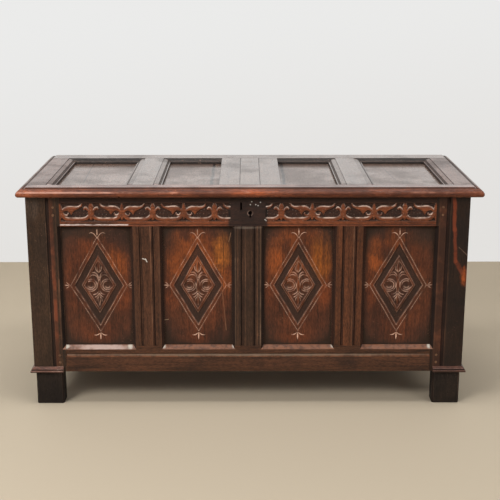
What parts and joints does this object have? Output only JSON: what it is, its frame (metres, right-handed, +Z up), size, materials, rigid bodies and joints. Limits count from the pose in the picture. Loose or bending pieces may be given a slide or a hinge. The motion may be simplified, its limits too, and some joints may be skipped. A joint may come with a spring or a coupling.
{
  "type": "coffer chest",
  "caption": "Long oak coffer chest with carved lozenge panels, a carved scroll frieze, block feet under moulded collars, and a panelled lid that lifts on hinges at the back.",
  "frame": {"origin": "middle of the overall footprint, on the floor under the feet", "axes": "+X along the chest to its right as seen from the front, +Y from the front to the back, +Z up"},
  "size_m": [1.387, 0.576, 0.6928],
  "materials": {
    "dark_oak": "waxed, almost black",
    "red_oak": "waxed, dark red brown",
    "panel_oak": "waxed, warm brown",
    "foot_oak": "worn, almost black",
    "lid_oak": "polished, faded by light",
    "inner_oak": "dry and unpolished",
    "iron": "dull wrought iron"
  },
  "bodies": {
    "carcase": {"stile_front_left": "dark_oak", "stile_front_right": "dark_oak", "stile_back_left": "dark_oak", "stile_back_right": "dark_oak", "rail_front_top": "red_oak", "rail_front_bottom": "red_oak", "muntin_front_left": "red_oak", "muntin_front_centre": "red_oak", "muntin_front_right": "red_oak", "rail_left_top": "red_oak", "rail_left_bottom": "red_oak", "muntin_left": "red_oak", "rail_right_top": "red_oak", "rail_right_bottom": "red_oak", "muntin_right": "red_oak", "foot_collar_left": "red_oak", "foot_collar_right": "red_oak", "panel_front_outer_left": "panel_oak", "panel_front_inner_left": "panel_oak", "panel_front_inner_right": "panel_oak", "panel_front_outer_right": "panel_oak", "panel_left_fore": "panel_oak", "panel_left_rear": "panel_oak", "panel_right_fore": "panel_oak", "panel_right_rear": "panel_oak", "foot_front_left": "foot_oak", "foot_front_right": "foot_oak", "rail_back_top": "inner_oak", "rail_back_bottom": "inner_oak", "muntin_back_left": "inner_oak", "muntin_back_right": "inner_oak", "panel_back_left": "inner_oak", "panel_back_centre": "inner_oak", "panel_back_right": "inner_oak", "floor_board_1": "inner_oak", "floor_board_2": "inner_oak", "floor_board_3": "inner_oak", "hinge_plate_left": "iron", "hinge_plate_right": "iron", "hinge_pin_left": "iron", "hinge_pin_right": "iron", "lock_case": "iron"},
    "lid": {"lid_rail_front": "lid_oak", "lid_rail_back": "lid_oak", "lid_end_stile_left": "lid_oak", "lid_end_stile_right": "lid_oak", "lid_muntin_left": "lid_oak", "lid_muntin_centre": "lid_oak", "lid_muntin_right": "lid_oak", "lid_filler_left": "lid_oak", "lid_filler_right": "lid_oak", "lid_panel_outer_left": "lid_oak", "lid_panel_inner_left": "lid_oak", "lid_panel_inner_right": "lid_oak", "lid_panel_outer_right": "lid_oak", "hinge_strap_left": "iron", "hinge_strap_right": "iron", "lock_staple": "iron"},
    "bolt": {"lock_bolt": "iron"}
  },
  "joints": [
    {"name": "lid_hinge", "type": "hinge", "parent": "carcase", "child": "lid", "pos_m": [0, 0.2823, 0.6633], "axis": [-1, 0, 0], "range_deg": [0, 100]},
    {"name": "lock_bolt_slide", "type": "slide", "parent": "carcase", "child": "bolt", "axis": [1, 0, 0], "range_m": [0, 0.012]}
  ]
}
